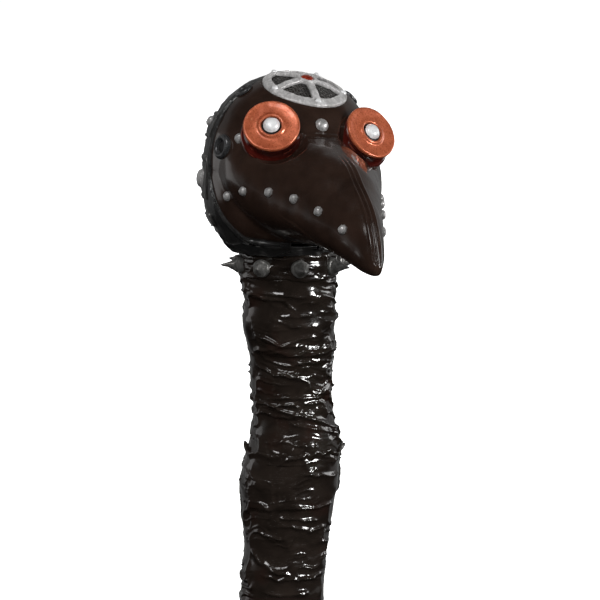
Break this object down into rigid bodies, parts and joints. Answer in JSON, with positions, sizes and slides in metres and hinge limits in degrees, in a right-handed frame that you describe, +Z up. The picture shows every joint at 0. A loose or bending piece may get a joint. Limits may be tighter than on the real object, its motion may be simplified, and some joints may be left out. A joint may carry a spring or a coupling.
{
  "type": "plague doctor mask cane head",
  "caption": "Plague doctor mask head with a long beak, copper goggles, a crown wheel and a spiked collar on a wrinkled wrapped cane grip that ends in a flat ferrule.",
  "frame": {"origin": "centre of the flat end face of the ferrule, under the grip", "axes": "+Z up the grip towards the head, the beak points towards -Y, +X is the wearer's left"},
  "size_m": [0.0612, 0.1104, 0.1996],
  "materials": {
    "mask_resin": "glossy dark brown lacquer over cast resin",
    "hood_resin": "satin charcoal lacquer with a leather-like skin",
    "strap_resin": "black leather-look straps, semi-gloss",
    "oxblood_enamel": "dark oxblood enamel, glossy",
    "copper_paint": "hand-brushed copper paint, satin",
    "black_rubber": "matt black",
    "dark_mesh": "fine blackened wire mesh",
    "red_jewel": "dark red cabochon, polished",
    "wrap_resin": "wrinkled wrap sealed in glossy black-brown lacquer",
    "stick_wood": "plain turned wood, unseen inside",
    "gunmetal": "worn gunmetal",
    "ferrule_steel": "brushed dark steel",
    "old_silver": "hand-painted old silver with dark recesses"
  },
  "bodies": {
    "root": {"brow_stud": "old_silver", "cheek_stud_left_1": "old_silver", "cheek_stud_left_2": "old_silver", "cheek_stud_left_3": "old_silver", "cheek_stud_left_4": "old_silver", "cheek_stud_left_5": "old_silver", "cheek_stud_left_6": "old_silver", "cheek_stud_right_1": "old_silver", "cheek_stud_right_2": "old_silver", "cheek_stud_right_3": "old_silver", "cheek_stud_right_4": "old_silver", "cheek_stud_right_5": "old_silver", "cheek_stud_right_6": "old_silver", "collar_band": "strap_resin", "collar_spike_1": "old_silver", "collar_spike_2": "old_silver", "collar_spike_3": "old_silver", "collar_spike_4": "old_silver", "collar_spike_5": "old_silver", "collar_spike_6": "old_silver", "collar_spike_7": "old_silver", "collar_spike_8": "old_silver", "crown_jewel": "red_jewel", "crown_mesh": "dark_mesh", "crown_strap": "strap_resin", "crown_wheel": "old_silver", "end_ferrule": "ferrule_steel", "eyelet_lower_left": "gunmetal", "eyelet_lower_right": "gunmetal", "eyelet_upper_left": "gunmetal", "eyelet_upper_right": "gunmetal", "goggle_barrel_left": "oxblood_enamel", "goggle_barrel_right": "oxblood_enamel", "goggle_boss_left": "old_silver", "goggle_boss_right": "old_silver", "goggle_flange_left": "copper_paint", "goggle_flange_right": "copper_paint", "goggle_gasket_left": "black_rubber", "goggle_gasket_right": "black_rubber", "grip_core": "stick_wood", "grip_wrap_lower": "wrap_resin", "grip_wrap_upper": "wrap_resin", "head_form": "stick_wood", "hood_shell": "hood_resin", "mask_shell": "mask_resin", "nape_strap": "strap_resin", "neck_dowel": "gunmetal", "rear_strap_lower": "strap_resin", "rear_strap_upper": "strap_resin", "rear_stud_lower_left": "old_silver", "rear_stud_lower_right": "old_silver", "rear_stud_upper_left": "old_silver", "rear_stud_upper_right": "old_silver", "rim_welt_left": "strap_resin", "rim_welt_right": "strap_resin", "temple_stud_left": "old_silver", "temple_stud_right": "old_silver"}
  },
  "joints": []
}
